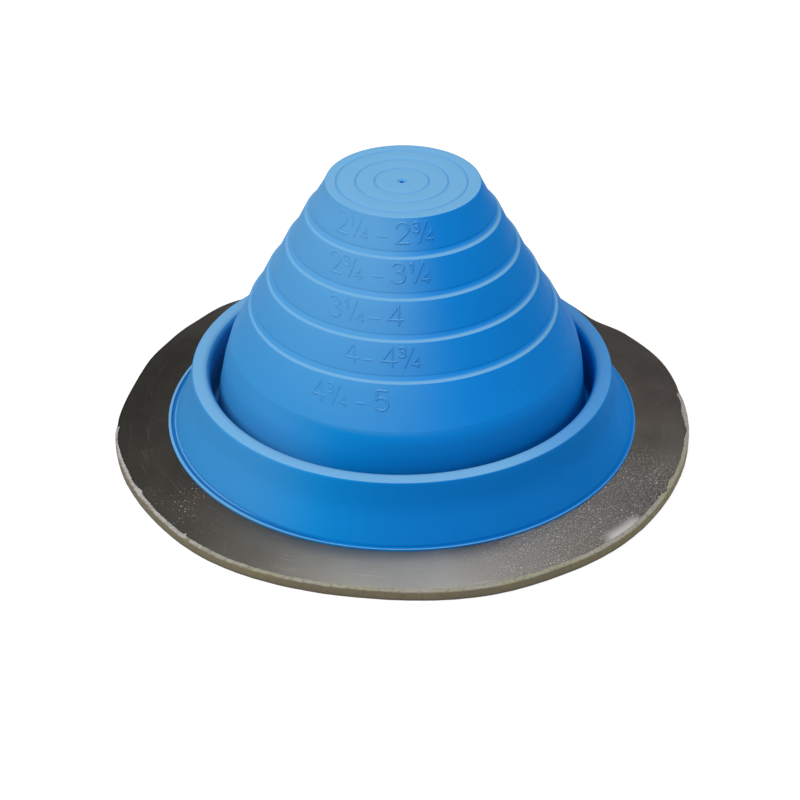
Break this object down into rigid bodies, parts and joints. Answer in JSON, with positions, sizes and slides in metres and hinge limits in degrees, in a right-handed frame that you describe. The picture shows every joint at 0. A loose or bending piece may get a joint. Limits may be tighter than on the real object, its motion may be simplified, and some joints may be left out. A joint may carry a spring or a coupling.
{
  "type": "pipe flashing boot",
  "caption": "Moulded rubber pipe flashing boot: a stepped hollow cone with a closed top, a folded ridge round its foot, and a soft coned metal base ring on a sealing layer.",
  "frame": {"origin": "on the boot's axis in the plane of the roof, at the flat underside of the base", "axes": "+Z along the boot's axis, up the pipe; X and Y lie in the plane of the roof, and the size marks face -Y"},
  "size_m": [0.1988, 0.1988, 0.0954],
  "materials": {
    "rubber_boot": "satin moulded rubber, mid blue",
    "ring_metal": "bare soft sheet with fine scratches and specks",
    "seal_layer": "matt olive-grey sealing compound"
  },
  "bodies": {
    "root": {"boot": "rubber_boot", "base_ring": "ring_metal", "base_seal": "seal_layer"}
  },
  "joints": []
}
